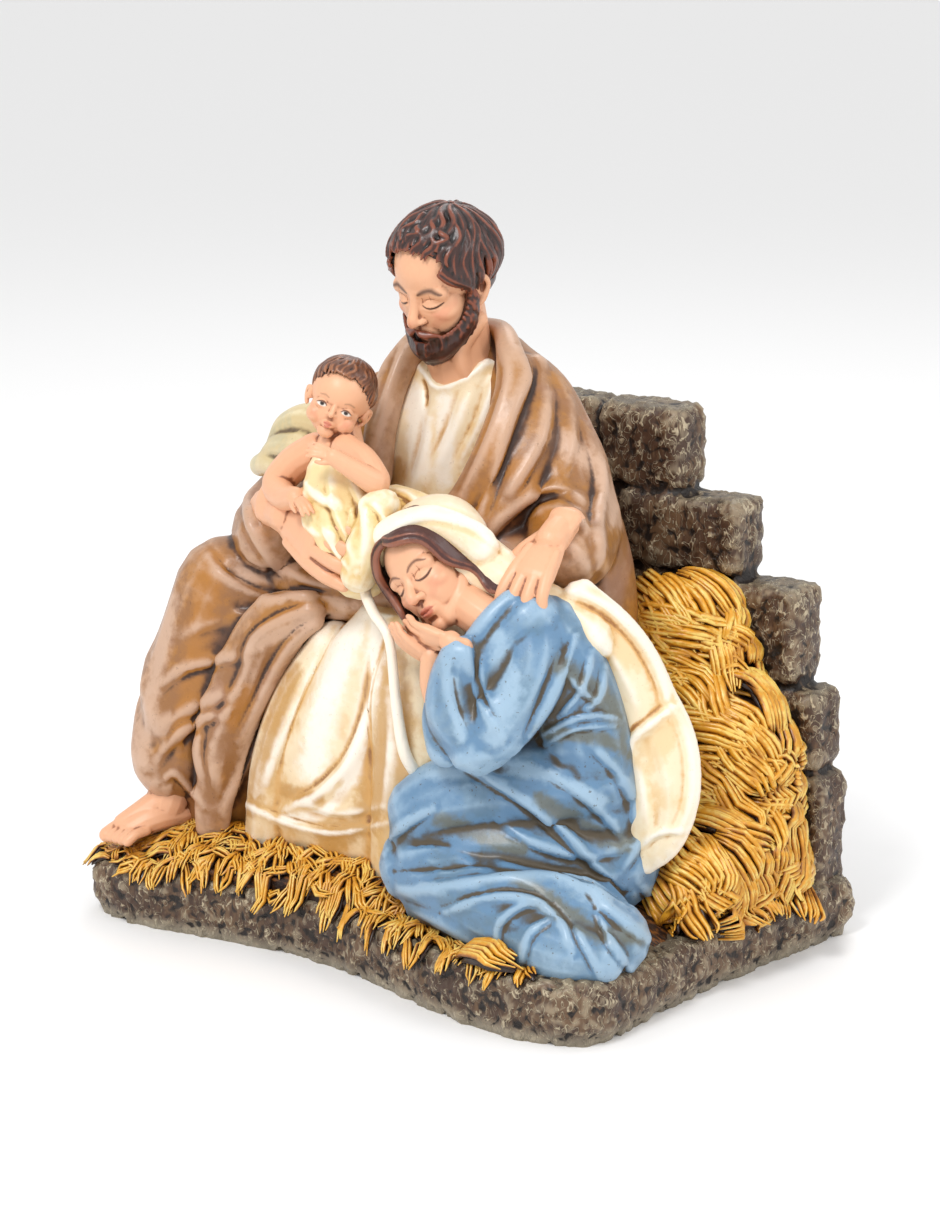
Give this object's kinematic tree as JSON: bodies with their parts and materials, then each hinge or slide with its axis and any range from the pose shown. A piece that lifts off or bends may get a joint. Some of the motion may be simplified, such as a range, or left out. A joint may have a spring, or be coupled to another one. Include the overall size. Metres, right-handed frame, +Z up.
{
  "type": "nativity group statuette",
  "caption": "Painted cast resin statuette of a seated man holding a baby and a woman asleep at his knee, on a straw-covered rock base with a stepped stone wall behind.",
  "frame": {"origin": "centre of the bounding box on the underside of the base", "axes": "+Z up, -Y towards the front of the seated man, +X to the viewer's right, towards the sleeping woman and the low end of the wall"},
  "size_m": [0.1654, 0.1072, 0.1753],
  "materials": {
    "painted_resin": "hand-painted cast resin with a dark wash in the folds and a soft satin sheen"
  },
  "bodies": {
    "root": {"holy_family_group": "painted_resin"}
  },
  "joints": []
}
